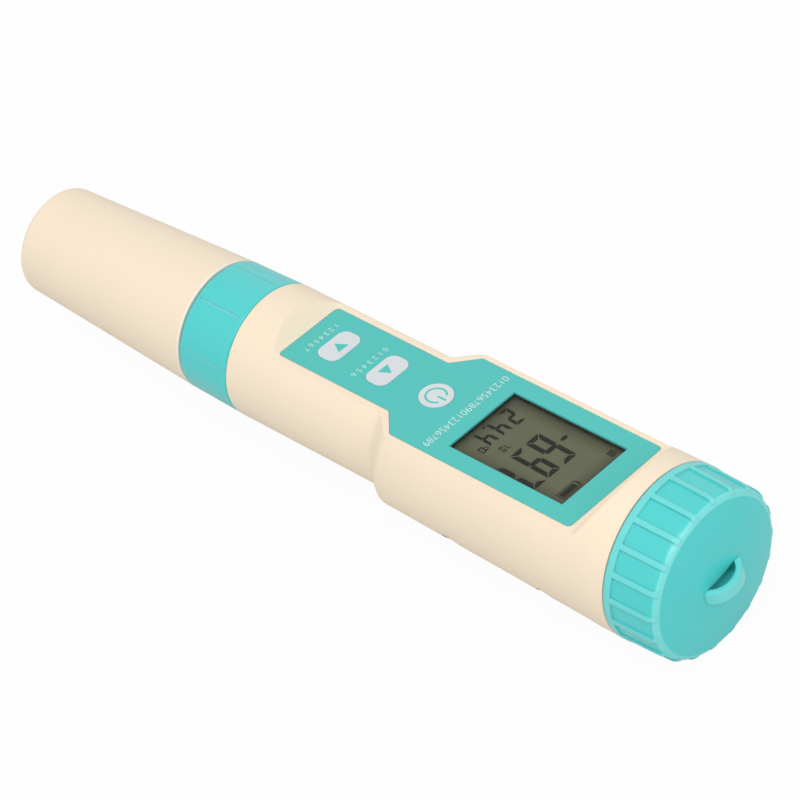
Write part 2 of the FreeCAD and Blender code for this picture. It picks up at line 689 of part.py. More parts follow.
def build_collar():
    nut = turned([(X_COLLAR, BARREL_R + RUN_FIT), (X_COLLAR, COLLAR_FRONT_R - 0.4), (X_COLLAR + 0.4, COLLAR_FRONT_R),
                  (X_COLLAR_END - 0.3, COLLAR_REAR_R), (X_COLLAR_END, COLLAR_REAR_R - 0.3),
                  (X_COLLAR_END, FRONT_SPIGOT_R + RUN_FIT), (X_COLLAR + COLLAR_LIP, FRONT_SPIGOT_R + RUN_FIT),
                  (X_COLLAR + COLLAR_LIP, BARREL_R + RUN_FIT)])
    groove = bar([(X_COLLAR + GROOVE_START, COLLAR_FRONT_R - GROOVE_D, 0),
                  (X_COLLAR_END - GROOVE_STOP, COLLAR_REAR_R - GROOVE_D, 0),
                  (X_COLLAR_END - GROOVE_STOP, COLLAR_REAR_R + 2, 0), (X_COLLAR + GROOVE_START, COLLAR_REAR_R + 2, 0)],
                 GROOVE_W / 2)
    for cut in around(groove, COLLAR_GROOVES, GROOVE_PHASE):
        nut = nut.cut(cut)
    put("collar_nut", nut)


def sleeve_r(x, inset):
    return SLEEVE_END_R + (SLEEVE_MOUTH_R - SLEEVE_END_R) * x / SLEEVE_LEN - inset


def build_probe_cap():
    edge = []
    for i in range(ROUND_STEPS + 1):
        a = i * math.pi / 2 / ROUND_STEPS
        x = SLEEVE_ROUND * (1 - math.sin(a))
        edge.append((x, sleeve_r(x, SLEEVE_ROUND * (1 - math.cos(a)))))
    outer = turned([(SLEEVE_LEN, 0), (SLEEVE_LEN, SLEEVE_MOUTH_R)] + edge + [(0, 0)])
    inner = turned([(CAP_END_WALL, 0), (CAP_END_WALL, sleeve_r(CAP_END_WALL, SLEEVE_WALL + 0.8)),
                    (CAP_END_WALL + 2, sleeve_r(CAP_END_WALL + 2, SLEEVE_WALL)),
                    (SLEEVE_LEN + 1, sleeve_r(SLEEVE_LEN + 1, SLEEVE_WALL)), (SLEEVE_LEN + 1, 0)])
    put("cap_sleeve", outer.cut(inner))
    a = SLEEVE_LEN - LINER_SETBACK - LINER_LEN
    b = SLEEVE_LEN - LINER_SETBACK
    put("cap_liner", turned([(a, BARREL_R + RUN_FIT), (a, sleeve_r(a, SLEEVE_WALL) - 0.01),
                             (b, sleeve_r(b, SLEEVE_WALL) - 0.01), (b, BARREL_R + RUN_FIT)]))
    put("soaking_sponge", turned([(CAP_END_WALL, 0), (CAP_END_WALL, SPONGE_R - 0.5), (CAP_END_WALL + 1, SPONGE_R),
                                  (CAP_END_WALL + SPONGE_LEN, SPONGE_R), (CAP_END_WALL + SPONGE_LEN, 0)]))


def dome_points(edge_r, x_edge, rise, steps):
    """Points of a shallow spherical dome from its edge to the axis."""
    big = (edge_r ** 2 + rise ** 2) / (2 * rise)
    pts = []
    for i in range(steps + 1):
        r = edge_r * (1 - i / steps)
        pts.append((x_edge + math.sqrt(big ** 2 - r ** 2) - (big - rise), r))
    return pts


def cap_form(sunk):
    """Outer form of the battery cap with its rounded rear edge and dome; sunk lowers all but the dome."""
    x_round = X_DOME - CAP_ROUND
    side = CAP_REAR_R - sunk
    pts = [(X_CAP, 0), (X_CAP, CAP_RIM_R - sunk), (x_round, side)]
    for i in range(1, ROUND_STEPS):
        a = i * math.pi / 2 / ROUND_STEPS
        pts.append((x_round + CAP_ROUND * math.sin(a), side - (side - DOME_EDGE_R) * (1 - math.cos(a))))
    return turned(pts + dome_points(DOME_EDGE_R, X_DOME, DOME_RISE, ROUND_STEPS))


def oval_rod(x, half_x, half_y, z, height):
    """Upright rod of elliptical section centred on the axis plane."""
    ends = [V(x + half_x, 0, z), V(x, half_y, z)]
    if half_y > half_x:
        ends.reverse()
    oval = Part.Ellipse(ends[0], ends[1], V(x, 0, z))
    return Part.Face(Part.Wire([oval.toShape()])).extrude(V(0, 0, height))


def build_battery_cap():
    x0 = X_CAP + RIM_BAND
    x1 = X_DOME - CAP_ROUND * (1 - RIB_REACH)
    inner = DOME_EDGE_R - 1
    rib = block(X_CAP, x1, -RIB_W / 2, RIB_W / 2, inner, CAP_RIM_R + 2)
    raised = around(rib, RIBS, RIB_PHASE) + [ring(inner, CAP_RIM_R + 2, X_CAP, x0)]
    body = cap_form(PANEL_D).fuse(cap_form(0.0).common(joined(raised)))

    # Lanyard arch over a flat pocket in the dome, at the angle where the cap is screwed home
    zc = -ARCH_W / 2
    foot = X_APEX - POCKET_DEPTH
    rise = X_TOTAL - foot
    outside = block(foot, X_TOTAL + 1, -20, 20, -20, 20)
    inner_rise = rise - ARCH_BAR
    inner_half = ARCH_HALF - ARCH_BAR
    pocket = oval_rod(foot, inner_rise, inner_half, zc, ARCH_W).common(outside)
    arch = oval_rod(foot, rise, ARCH_HALF, zc, ARCH_W).common(outside)
    arch = arch.cut(oval_rod(foot, inner_rise, inner_half, zc - 1, ARCH_W + 2))
    for form in (pocket, arch):
        form.rotate(V(0, 0, 0), V(1, 0, 0), ARCH_TURN)
    body = body.cut(pocket).fuse(arch)

    hollow = rod(REAR_SPIGOT_R + RUN_FIT, X_CAP - 1, X_CAP_INSIDE)
    put("battery_cap", body.cut(hollow).removeSplitter())
    put("cap_gasket", ring(GASKET_IN_R, GASKET_OUT_R, X_GASKET, X_GASKET + GASKET_T))
    put("contact_carrier", rod(CARRIER_R, X_GASKET + CONTACT_T, X_CAP_INSIDE))
    put("cap_contact", rod(CONTACT_R, X_GASKET, X_GASKET + CONTACT_T))


def export():
    os.makedirs("parts", exist_ok=True)
    low = PARTS["battery_cap"].optimalBoundingBox(False).ZMin
    for name, shape in PARTS.items():
        shape.translate(V(-X_TOTAL / 2, 0, -low))
        shape.exportStep("parts/" + name + ".step")
        print(name, len(shape.Solids), round(shape.Volume, 1), shape.isValid())
    print("length", round(X_TOTAL, 3), "axis height", round(-low, 3))


build_housing()
build_face()
build_board()
build_power()
build_electrode()
build_collar()
build_probe_cap()
build_battery_cap()
export()
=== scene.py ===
# %% [markdown]
# # Water quality test pen
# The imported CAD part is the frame. This script gives every piece its finish, adds the screw threads, prints the
# legends on the face film and on the display, and sets the camera, the floor and the light of the photograph.

# %%
import bmesh
import bpy
import math
from mathutils import Matrix, Vector


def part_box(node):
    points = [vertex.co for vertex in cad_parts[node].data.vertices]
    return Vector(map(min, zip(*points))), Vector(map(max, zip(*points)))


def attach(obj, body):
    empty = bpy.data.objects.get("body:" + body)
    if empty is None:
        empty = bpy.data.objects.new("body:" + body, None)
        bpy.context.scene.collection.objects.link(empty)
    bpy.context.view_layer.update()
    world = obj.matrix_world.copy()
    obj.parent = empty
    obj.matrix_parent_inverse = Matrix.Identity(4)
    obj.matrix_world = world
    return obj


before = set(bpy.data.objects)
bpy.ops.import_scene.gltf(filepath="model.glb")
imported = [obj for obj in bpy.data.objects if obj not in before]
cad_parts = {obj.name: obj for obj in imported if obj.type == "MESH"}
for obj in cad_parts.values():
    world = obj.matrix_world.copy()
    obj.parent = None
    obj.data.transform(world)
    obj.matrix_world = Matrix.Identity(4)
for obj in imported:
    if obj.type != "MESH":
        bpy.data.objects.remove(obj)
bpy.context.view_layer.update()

# %% [markdown]
# ## Places taken from the CAD part
# Places are in metres. The pen axis runs along X at the height `AXIS_Z`. The film, the display and the keys
# give the planes that the prints lie on. Sizes drawn below, such as those of a digit, are in millimetres.

# %%
MM = 0.001


def ends(name):
    """The two ends of a CAD node along X."""
    return [corner.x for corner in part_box(name)]


def middle(name):
    low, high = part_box(name)
    return (low + high) / 2


AXIS_Z = middle("cap_sleeve").z
FILM_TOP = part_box("face_film")[1].z
KEY_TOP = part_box("down_key")[1].z
LCD_LOW, LCD_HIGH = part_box("lcd_glass")
PANE_LOW, PANE_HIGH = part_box("display_window")
DOWN_X, UP_X, POWER_X = [middle(key).x for key in ("down_key", "up_key", "power_key")]
SLEEVE_END = ends("cap_sleeve")[1]
COLLAR_LOW, COLLAR_HIGH = ends("collar_nut")
HOUSE_LOW, HOUSE_HIGH = ends("housing_shell")
CELLS_LOW, CELLS_HIGH = ends("battery_cells")
CAP_LOW, CAP_HIGH = ends("battery_cap")
NECK_SPIGOT_R, CAP_SPIGOT_R = 12.65, 16.9    # millimetres
print("axis height mm", round(AXIS_Z / MM, 3), "film top mm", round(FILM_TOP / MM, 3))

# %% [markdown]
# ## A small class for shader sums
# `Sum` wraps one output socket. Plain operators make Math nodes, and `node` makes any other node, so a
# pattern reads as one line of arithmetic.

# %%
class Sum:
    def __init__(self, tree, socket):
        self.tree = tree
        self.socket = socket

    def math(self, operation, *others):
        made = self.tree.nodes.new("ShaderNodeMath")
        made.operation = operation
        for place, value in enumerate((self,) + others):
            if isinstance(value, Sum):
                self.tree.links.new(value.socket, made.inputs[place])
            else:
                made.inputs[place].default_value = value
        return Sum(self.tree, made.outputs[0])

    def __add__(self, other): return self.math("ADD", other)
    def __radd__(self, other): return self.math("ADD", other)
    def __sub__(self, other): return self.math("SUBTRACT", other)
    def __rsub__(self, other): return (self * -1.0).math("ADD", other)
    def __mul__(self, other): return self.math("MULTIPLY", other)
    def __rmul__(self, other): return self.math("MULTIPLY", other)
    def __truediv__(self, other): return self.math("DIVIDE", other)
    def __abs__(self): return self.math("ABSOLUTE")
    def __lt__(self, other): return self.math("LESS_THAN", other)
    def __gt__(self, other): return self.math("GREATER_THAN", other)

    def node(self, kind, output=0, into=0, **values):
        return make(self.tree, kind, output, {into: self}, **values)


def make(tree, kind, output=0, inputs=None, **values):
    """One node. `values` sets its settings and sockets, `inputs` gives sockets a value or a link."""
    made = tree.nodes.new("ShaderNode" + kind)
    for name, value in values.items():
        if hasattr(made, name):
            setattr(made, name, value)
        else:
            made.inputs[name.replace("_", " ")].default_value = value
    for name, value in (inputs or {}).items():
        if isinstance(value, Sum):
            tree.links.new(value.socket, made.inputs[name])
        else:
            made.inputs[name].default_value = value
    return Sum(tree, made.outputs[output])


def linear(red, green, blue):
    """Display colour 0 to 255 as the linear colour that a shader takes."""
    out = []
    for level in (red, green, blue):
        v = level / 255
        out.append(v / 12.92 if v <= 0.04045 else ((v + 0.055) / 1.055) ** 2.4)
    return out + [1.0]


def shaded(color, factor):
    return [c * factor for c in color[:3]] + [1.0]


def tint(base, share, color):
    """The colour `base` with a share of another colour mixed in."""
    return make(base.tree, "MixRGB", 0, {"Fac": share, "Color1": base}, Color2=color)


# %% [markdown]
# ## Colour patterns
# A pattern takes the object's coordinates and the plain colour of a material, and gives the colour back with
# paler or darker places. On the cap, collar and sleeve these are painted light, on the display painted shade.
# Its stations along the pen come from the CAD boxes. A phase is in degrees from -Y towards +Z, a half width is a
# share of the pitch, and the other sizes are in millimetres.

# %%
RIBS, RIB_PHASE, RIB_HALF = 20, 6.3, 0.11              # number, phase and half width of the painted rib highlights
GROOVES, GROOVE_PHASE, GROOVE_HALF = 8, 16.7, 0.025
GROOVE_INSETS = (1.2, 1.5)                             # from the two ends of the collar
RIM_WIDTH, DOME_START, ARCH_HEIGHT = 1.6, 11.5, 3.4    # along the battery cap, where its painted highlights fall
CELL_END, CELL_BAND = 2.0, 30.0                        # bare metal, and where the copper band starts
RIM_HIGHLIGHT = 0.5                                         # painted highlight at the open end of the sleeve
LCD_MARGIN, SHADE_WIDTH = 1.0, 4.0                      # glass under the film, and how far the painted shade reaches


def along(place):
    """x, y and z of the object in millimetres, with z counted from the pen axis."""
    x, y, z = [place.node("SeparateXYZ", axis, "Vector") / MM for axis in "XYZ"]
    return x, y, z - AXIS_Z / MM


def off_copy(y, z, count, phase):
    """How far round the axis the nearest of `count` copies lies, as a share of their pitch."""
    turn = z.math("ARCTAN2", y) * (count / (2 * math.pi)) + (phase * count / 360 + count)
    return 0.5 - abs(turn.math("FRACT") - 0.5)


def rib_highlights(place, base):
    """Battery cap: painted highlights, paler on its ribs, rim, dome edge and arch, where these catch the light."""
    x, y, z = along(place)
    crest = off_copy(y, z, RIBS, RIB_PHASE) < RIB_HALF
    rim = x < CAP_LOW / MM + RIM_WIDTH
    wall = (y * y + z * z) > CAP_SPIGOT_R ** 2
    side = wall * crest.math("MAXIMUM", rim) * 0.34
    dome_edge = wall * (x > CAP_LOW / MM + DOME_START) * 0.5
    arch = (x > CAP_HIGH / MM - ARCH_HEIGHT) * 0.42
    # painted highlights: ribs, rim, dome edge and arch mixed towards pale teal
    return tint(base, side.math("MAXIMUM", dome_edge).math("MAXIMUM", arch), linear(150, 232, 229))


def groove_painted_light(place, base):
    """Collar: painted light, paler floors in its grooves that offset the shade gathering in them."""
    x, y, z = along(place)
    floor = off_copy(y, z, GROOVES, GROOVE_PHASE) < GROOVE_HALF
    reach = (x > COLLAR_LOW / MM + GROOVE_INSETS[0]) * (x < COLLAR_HIGH / MM - GROOVE_INSETS[1])
    # painted light in the groove floors
    return tint(base, floor * reach * 0.4, linear(170, 240, 238))


def cell_bands(place, base):
    """Battery cells: bare metal ends, a dark sleeve and a copper band."""
    x = along(place)[0]
    inside = x < CELLS_HIGH / MM - CELL_END
    dark = tint(base, (x > CELLS_LOW / MM + CELL_END) * inside, linear(38, 44, 52))
    return tint(dark, (x > CELLS_LOW / MM + CELL_BAND) * inside, linear(196, 140, 60))


def board_traces(place, base):
    """Circuit boards: thin lighter lines, as copper traces under green mask."""
    cell = place.node("TexVoronoi", 0, "Vector", feature="DISTANCE_TO_EDGE", Scale=260.0)
    return tint(base, cell < 0.06, linear(46, 128, 74))


def rim_highlight(place, base):
    """Probe cap sleeve: a painted highlight, paler along its open end."""
    end = along(place)[0] > SLEEVE_END / MM - RIM_HIGHLIGHT
    # painted highlight along the open end of the sleeve
    return tint(base, end * 0.8, linear(250, 246, 236))


def lcd_edge_shade(place, base):
    """Display glass: painted shade, darker towards the edges of the window, as under its raised rim."""
    x, y = along(place)[:2]
    half_x, half_y = [(LCD_HIGH[axis] - LCD_LOW[axis]) / 2 / MM - LCD_MARGIN for axis in (0, 1)]
    side_x = half_x - abs(x - (LCD_LOW.x + LCD_HIGH.x) / 2 / MM)
    side_y = half_y - abs(y)
    near = side_x.math("MINIMUM", side_y) / SHADE_WIDTH
    shade = near.math("MAXIMUM", 0.0).math("MINIMUM", 1.0).math("POWER", 0.6)
    # painted shade colour towards the window edges
    return make(base.tree, "MixRGB", 0, {"Fac": shade, "Color2": base}, Color1=linear(54, 54, 42))


# %% [markdown]
# ## Materials
# `finish` builds one Principled material. One noise in object coordinates varies its colour and roughness a
# little, and a fine one roughens the surface. A Bevel node softens sharp CAD edges where `edge` is given.

# %%
ROUGHNESS_SWING = 0.08


def finish(name, color, roughness=0.4, metal=0.0, grain=900.0, relief=0.02, edge=0.0, spread=0.03, coat=0.0,
           pattern=None, **constants):
    """`grain` and `relief` are scale and height of the fine noise, `spread` is the share the colour varies by."""
    mat = bpy.data.materials.new(name)
    mat.use_nodes = True
    tree = mat.node_tree
    shader = tree.nodes["Principled BSDF"]
    shader.inputs["Metallic"].default_value = metal
    shader.inputs["Coat Weight"].default_value = coat
    shader.inputs["Coat Roughness"].default_value = 0.15
    for key, value in constants.items():
        shader.inputs[key.replace("_", " ")].default_value = value
    place = make(tree, "TexCoord", "Object")
    cloud = place.node("TexNoise", 0, "Vector", Scale=60.0, Detail=2.0)
    base = cloud.node("MixRGB", 0, "Fac", Color1=shaded(color, 1 - spread), Color2=shaded(color, 1 + spread))
    if pattern:
        base = pattern(place, base)
    tree.links.new(base.socket, shader.inputs["Base Color"])
    rough = cloud * ROUGHNESS_SWING + (roughness - ROUGHNESS_SWING / 2)
    tree.links.new(rough.socket, shader.inputs["Roughness"])
    fine = place.node("TexNoise", 0, "Vector", Scale=grain, Detail=3.0)
    bump = make(tree, "Bump", 0, {"Height": fine * relief}, Strength=1.0, Distance=MM)
    if edge:
        soft = make(tree, "Bevel", 0, None, samples=4, Radius=edge)
        tree.links.new(soft.socket, bump.socket.node.inputs["Normal"])
    tree.links.new(bump.socket, shader.inputs["Normal"])
    return mat


BEIGE = linear(247, 229, 203)
TEAL = linear(74, 209, 207)
SHEEN = {"coat": 0.15, "Subsurface_Weight": 0.35, "Subsurface_Radius": (0.3, 0.9, 0.9), "Subsurface_Scale": 1.2 * MM}

beige = finish("beige_housing", BEIGE, 0.42, edge=0.35 * MM, relief=0.012, spread=0.012)
beige_sleeve = finish("beige_sleeve", BEIGE, 0.42, edge=0.2 * MM, relief=0.012, spread=0.012, pattern=rim_highlight)
teal = finish("teal_collar", TEAL, 0.30, edge=0.25 * MM, relief=0.01, spread=0.02, pattern=groove_painted_light, **SHEEN)
teal_cap = finish("teal_cap", TEAL, 0.30, edge=0.5 * MM, relief=0.01, spread=0.02, pattern=rib_highlights, **SHEEN)
film = finish("teal_film", linear(74, 192, 185), 0.45, relief=0.02, grain=1500.0, spread=0.01)
pad = finish("grey_pads", linear(214, 220, 223), 0.5, relief=0.02, grain=1500.0, spread=0.008)
ink = finish("white_print", linear(210, 237, 234), 0.5, relief=0.0, spread=0.01)
ink_teal = finish("teal_print", linear(78, 196, 184), 0.5, relief=0.0, spread=0.01)
segment = finish("display_segments", linear(27, 26, 21), 0.5, relief=0.0, spread=0.05, Specular_IOR_Level=0.1)
lcd = finish("display_olive", linear(96, 99, 76), 0.35, relief=0.0, spread=0.03, pattern=lcd_edge_shade,
             Specular_IOR_Level=0.1)
white_back = finish("backlight_white", linear(225, 226, 220), 0.5)
black = finish("black_plastic", linear(34, 34, 36), 0.5, edge=0.15 * MM)
green = finish("board_green", linear(22, 92, 52), 0.28, relief=0.0, pattern=board_traces)
chip = finish("component_black", linear(30, 30, 33), 0.55, edge=0.1 * MM)
steel = finish("zinc_steel", linear(190, 192, 196), 0.3, 1.0, edge=0.1 * MM)
nickel = finish("nickel_leaf", linear(206, 202, 190), 0.25, 1.0)
gold = finish("gold_pins", linear(226, 184, 98), 0.22, 1.0)
jacket = finish("cell_jacket", linear(200, 202, 206), 0.32, 0.6, pattern=cell_bands)
probe_blue = finish("probe_body", linear(58, 72, 92), 0.4, edge=0.25 * MM)
platinum = finish("probe_steel", linear(176, 178, 180), 0.2, 1.0)
porous = finish("porous_junction", linear(236, 234, 226), 0.8, grain=2600.0, relief=0.12, spread=0.06)
seal = finish("seal_rubber", linear(40, 40, 42), 0.55)
liner = finish("liner_rubber", linear(148, 152, 154), 0.6, edge=0.2 * MM)
sponge = finish("sponge_foam", linear(226, 208, 130), 0.9, grain=1400.0, relief=0.5, spread=0.15)
bulb = finish("bulb_glass", linear(222, 236, 238), 0.05, relief=0.0, spread=0.01, coat=0.6, Alpha=0.45)

clear = bpy.data.materials.new("clear_window")
clear.use_nodes = True
tree = clear.node_tree
gloss = tree.nodes["Principled BSDF"]
gloss.inputs["Roughness"].default_value = 0.04
gloss.inputs["Base Color"].default_value = (0.9, 0.92, 0.9, 1)
through = make(tree, "BsdfTransparent")
dust = make(tree, "TexCoord", "Object").node("TexNoise", 0, "Vector", Scale=500.0, Detail=2.0)
glassy = make(tree, "MixShader", 0, {"Fac": dust * 0.004 + 0.006, 1: through, 2: Sum(tree, gloss.outputs[0])})
tree.links.new(glassy.socket, tree.nodes["Material Output"].inputs["Surface"])
print("materials", len(bpy.data.materials))

# %% [markdown]
# ## Finish of each CAD node

# %%
FINISHES = {
    beige: ["housing_shell", "rear_cover"],
    beige_sleeve: ["cap_sleeve"],
    teal: ["collar_nut"],
    teal_cap: ["battery_cap"],
    film: ["face_film"],
    pad: ["down_key", "up_key", "power_key"],
    clear: ["display_window"],
    lcd: ["lcd_glass"],
    white_back: ["backlight"],
    black: ["display_frame", "electrode_socket", "battery_cradle", "contact_carrier"],
    green: ["main_board", "socket_board"],
    chip: ["tact_switches", "board_components", "board_link"],
    steel: ["cover_screws", "board_screws"],
    nickel: ["cradle_contacts", "cap_contact"],
    gold: ["plug_pins"],
    jacket: ["battery_cells"],
    probe_blue: ["electrode_body"],
    platinum: ["conductivity_pins", "temperature_sensor"],
    porous: ["reference_junction"],
    seal: ["seal_rings", "cap_gasket", "contact_strips"],
    liner: ["cap_liner"],
    sponge: ["soaking_sponge"],
    bulb: ["glass_bulb"],
}
for mat, nodes in FINISHES.items():
    for name in nodes:
        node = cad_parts[name]
        node.data.materials.clear()
        node.data.materials.append(mat)
print("finished nodes", sum(len(n) for n in FINISHES.values()), "of", len(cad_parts))

# %% [markdown]
# ## Screw threads
# The CAD spigots are smooth. Each gets a two-start ridge with 3 mm lead, a trapezoid spun along a helix.
# The turn and the slide of the caps follow the same lead.

# %%
LEAD, FACETS_PER_TURN = 3.0, 60
RIDGE = [(-0.5, -0.15), (0.5, -0.15), (0.22, 0.26), (-0.22, 0.26)]    # along the axis, out from the spigot


def dress(name, mesh, mat, body):
    """Makes a piece of a mesh, with its material, on the body that it rides on."""
    piece = bpy.data.objects.new(name, mesh)
    bpy.context.scene.collection.objects.link(piece)
    mesh.materials.clear()
    mesh.materials.append(mat)
    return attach(piece, body)


def thread(name, radius, start, stop):
    """Two ridges round the pen axis between two stations along X, all in millimetres."""
    coil = bmesh.new()
    turns = (stop - start) / LEAD
    steps = round(turns * FACETS_PER_TURN)
    for side in (1, -1):
        corners = [coil.verts.new(((start + u) * MM, 0, AXIS_Z + side * (radius + v) * MM)) for u, v in RIDGE]
        bmesh.ops.spin(coil, geom=[coil.faces.new(corners)], cent=(0, 0, AXIS_Z), axis=(1, 0, 0),
                       dvec=((stop - start) / steps * MM, 0, 0), angle=2 * math.pi * turns, steps=steps)
    bmesh.ops.recalc_face_normals(coil, faces=coil.faces[:])
    odd = sum(1 for e in coil.edges if len(e.link_faces) != 2)
    volume = coil.calc_volume(signed=True)
    mesh = bpy.data.meshes.new(name)
    coil.to_mesh(mesh)
    coil.free()
    print(name, "faces", len(mesh.polygons), "odd edges", odd, "volume mm3", round(volume / MM ** 3, 2))
    return dress(name, mesh, beige, "housing")


thread("neck_thread", NECK_SPIGOT_R, start=HOUSE_LOW / MM + 0.9, stop=COLLAR_HIGH / MM - 1.4)
thread("cap_thread", CAP_SPIGOT_R, start=CAP_LOW / MM + 1.6, stop=HOUSE_HIGH / MM - 0.9)

# %% [markdown]
# ## Printed legends
# A print is a thin sheet of ink. Its outlines are drawn flat in millimetres, `u` to the right and `v` up, and
# `print_mesh` lays them on a face. Right is -Y and the top of the figures points along +X.

# %%
INK = 0.03 * MM


def print_mesh(name, mesh, mat, body, x, y, z):
    """Lays a flat mesh on a face, with its origin at x, y, z, and gives it the thickness of the ink."""
    mesh.transform(Matrix(((0, MM, 0, x), (-MM, 0, 0, y), (0, 0, MM, z), (0, 0, 0, 1))))
    sheet = bmesh.new()
    sheet.from_mesh(mesh)
    if sum(f.normal.z * f.calc_area() for f in sheet.faces) < 0:
        bmesh.ops.reverse_faces(sheet, faces=sheet.faces[:])
    out = bmesh.ops.extrude_face_region(sheet, geom=sheet.faces[:])
    moved = [g for g in out["geom"] if isinstance(g, bmesh.types.BMVert)]
    bmesh.ops.translate(sheet, vec=(0, 0, INK), verts=moved)
    bmesh.ops.recalc_face_normals(sheet, faces=sheet.faces[:])
    sheet.to_mesh(mesh)
    sheet.free()
    return dress(name, mesh, mat, body)


def shape(outlines):
    """Flat mesh from closed outlines."""
    flat = bmesh.new()
    for outline in outlines:
        flat.faces.new([flat.verts.new((u, v, 0)) for u, v in outline])
    mesh = bpy.data.meshes.new("outline")
    flat.to_mesh(mesh)
    flat.free()
    return mesh


def numbers(row, height, half):
    """Flat mesh of a row of plain numbers, `height` tall, evenly spaced from -half to half."""
    flat = bmesh.new()
    for place, figure in enumerate(row):
        curve = bpy.data.curves.new("digits", "FONT")
        curve.body = figure
        curve.size = height / 0.7             # a figure is 0.7 of its font size tall
        curve.offset = -0.012 * height        # thinner strokes
        curve.align_x = "CENTER"
        curve.align_y = "CENTER"
        holder = bpy.data.objects.new("digits", curve)
        bpy.context.scene.collection.objects.link(holder)
        bpy.context.view_layer.update()
        mesh = bpy.data.meshes.new_from_object(holder)
        mesh.transform(Matrix.Translation((half * (2 * place / (len(row) - 1) - 1), 0, 0)))
        flat.from_mesh(mesh)
        bpy.data.objects.remove(holder)
    mesh = bpy.data.meshes.new("numbers")
    flat.to_mesh(mesh)
    flat.free()
    return mesh


def rect(u0, v0, u1, v1):
    return [(u0, v0), (u1, v0), (u1, v1), (u0, v1)]


def arc_band(radius, width, start, stop, steps):
    """Outlines of a circular band, as quads, angles in degrees."""
    quads = []
    for i in range(steps):
        a = math.radians(start + (stop - start) * i / steps)
        b = math.radians(start + (stop - start) * (i + 1) / steps)
        r0, r1 = radius - width / 2, radius + width / 2
        quads.append([(r0 * math.cos(a), r0 * math.sin(a)), (r1 * math.cos(a), r1 * math.sin(a)),
                      (r1 * math.cos(b), r1 * math.sin(b)), (r0 * math.cos(b), r0 * math.sin(b))])
    return quads


scale_row = numbers("01234567890123456789", height=1.75, half=12.0)
upper_row = numbers("1234567", height=1.4, half=4.5)
lower_row = numbers("0123456", height=1.4, half=4.8)
prints = [
    print_mesh("scale_numbers", scale_row, ink, "housing", POWER_X + 8.0 * MM, 0, FILM_TOP),
    print_mesh("upper_numbers", upper_row, ink, "housing", DOWN_X - 5.1 * MM, 0, FILM_TOP),
    print_mesh("lower_numbers", lower_row, ink, "housing", UP_X - 4.95 * MM, 0, FILM_TOP),
]

arrow_down = [(-1.5, 1.3), (0, -1.3), (1.5, 1.3)]
arrow_up = [(u, -v) for u, v in reversed(arrow_down)]
power_sign = arc_band(radius=2.2, width=0.45, start=125, stop=415, steps=40) + [rect(-0.24, 0.5, 0.24, 2.7)]
for key, outlines, x in (("down", [arrow_down], DOWN_X), ("up", [arrow_up], UP_X), ("power", power_sign, POWER_X)):
    prints.append(print_mesh(key + "_mark", shape(outlines), ink_teal, key + "_key", x, 0, KEY_TOP))
print("prints on the face", len(prints))

# %% [markdown]
# ## Display
# The digits are seven-segment figures made of slanted bars. They lie just over the display glass. A thin dark
# rim runs round the opening of the film.

# %%
SEGMENTS = {"0": "abcdef", "2": "abged", "4": "fgbc", "6": "afgedc", "7": "abc", "9": "abcdfg"}


def digit(figure, u, v, width, height, stroke):
    """Outlines of one seven-segment figure with its lower left corner at u, v."""
    h = height / 2
    gap = stroke * 0.16
    level = {"a": height, "g": h, "d": 0.0}
    upright = {"f": (0, h), "b": (1, h), "e": (0, 0), "c": (1, 0)}
    out = []
    for name in SEGMENTS[figure]:
        if name in level:
            lo = v + min(max(level[name] - stroke / 2, 0), height - stroke)
            hi = lo + stroke
            cut = stroke * (0.5 if name == "g" else 1.0)
            a, b = u + gap, u + width - gap
            if name == "a":
                out.append([(a, hi), (a + cut, lo), (b - cut, lo), (b, hi)])
            elif name == "d":
                out.append([(a, lo), (b, lo), (b - cut, hi), (a + cut, hi)])
            else:
                mid = (lo + hi) / 2
                out.append([(a + gap, mid), (a + cut, lo), (b - cut, lo),
                            (b - gap, mid), (b - cut, hi), (a + cut, hi)])
        else:
            side, low = upright[name]
            lo = v + low + gap
            hi = v + low + h - gap
            bottom = stroke * (1.0 if low == 0 else 0.5)
            top = stroke * (0.5 if low == 0 else 1.0)
            outer = u if side == 0 else u + width
            inner = outer + stroke * (1 if side == 0 else -1)
            bar = [(outer, lo), (inner, lo + bottom), (inner, hi - top), (outer, hi)]
            out.append(bar if side == 1 else bar[::-1])
    return out


def lean(outlines, slant=0.03):
    return [[(u + v * slant, v) for u, v in outline] for outline in outlines]


def frame_of(u0, v0, u1, v1, line):
    """Outlines of a thin rectangular frame."""
    return [rect(u0, v0, u1, v0 + line), rect(u0, v1 - line, u1, v1),
            rect(u0, v0 + line, u0 + line, v1 - line), rect(u1 - line, v0 + line, u1, v1 - line)]


big = [[(-6.25, 5.2), (-5.9, 4.75), (-4.7, 4.75), (-4.3, 5.2), (-4.7, 5.7), (-5.9, 5.7)]]
for figure, left, right in (("6", -3.3, 0.75), ("9", 1.6, 5.35), ("7", 5.85, 9.55)):
    big += digit(figure, left, 0, width=right - left, height=10.5, stroke=1.15)
small = []
for figure, left in (("2", -5.4), ("4", -1.6), ("4", 2.3)):
    small += digit(figure, left, 0, width=2.6, height=5.5, stroke=0.75)
small.append(rect(1.45, 0, 2.0, 0.6))
ring = arc_band(radius=0.45, width=0.22, start=0, stop=360, steps=16)
small += [[(u + 6.0, v + 4.9) for u, v in quad] for quad in ring]
battery = frame_of(3.3, 0, 8.7, 2.2, line=0.2) + [rect(3.0, 0.6, 3.3, 1.6), rect(4.0, 0.45, 8.3, 1.75)]
boxed = frame_of(-7.9, 0.2, -6.3, 1.9, line=0.3) + [rect(-7.4, 0.65, -6.8, 1.45)]
beside = frame_of(6.4, 0, 7.6, 1.8, line=0.3)
for figure, left in (("7", 2.6), ("0", 3.9)):
    beside += digit(figure, left, 3.2, width=0.9, height=1.8, stroke=0.28)

